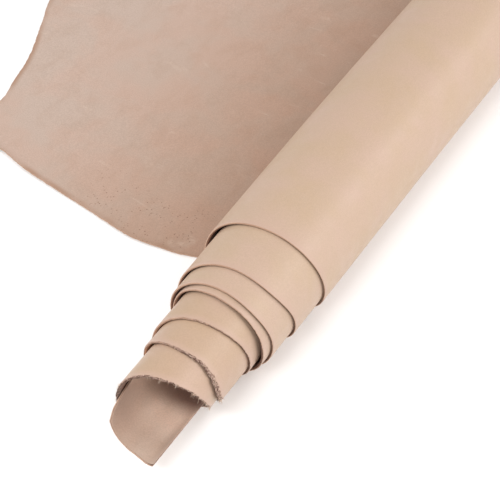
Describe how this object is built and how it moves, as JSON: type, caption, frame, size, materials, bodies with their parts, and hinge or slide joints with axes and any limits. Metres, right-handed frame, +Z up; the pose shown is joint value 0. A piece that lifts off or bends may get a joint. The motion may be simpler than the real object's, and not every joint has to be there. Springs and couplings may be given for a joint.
{
  "type": "side of vegetable-tanned leather",
  "caption": "Side of vegetable-tanned leather in a loose roll, its belly edge stepping out to a tongue and its outer end, with the hind shank, laid flat on the floor.",
  "frame": {"origin": "the middle of the box of the whole sheet, on the floor that it lies on", "axes": "+Y along the roll, from its stepped belly end to the backbone cut; +Z up; the flat end lies towards -X and the roll towards +X"},
  "size_m": [0.5064, 0.9538, 0.113],
  "materials": {
    "leather": "satin"
  },
  "bodies": {
    "root": {"leather_side": "leather"}
  },
  "joints": []
}
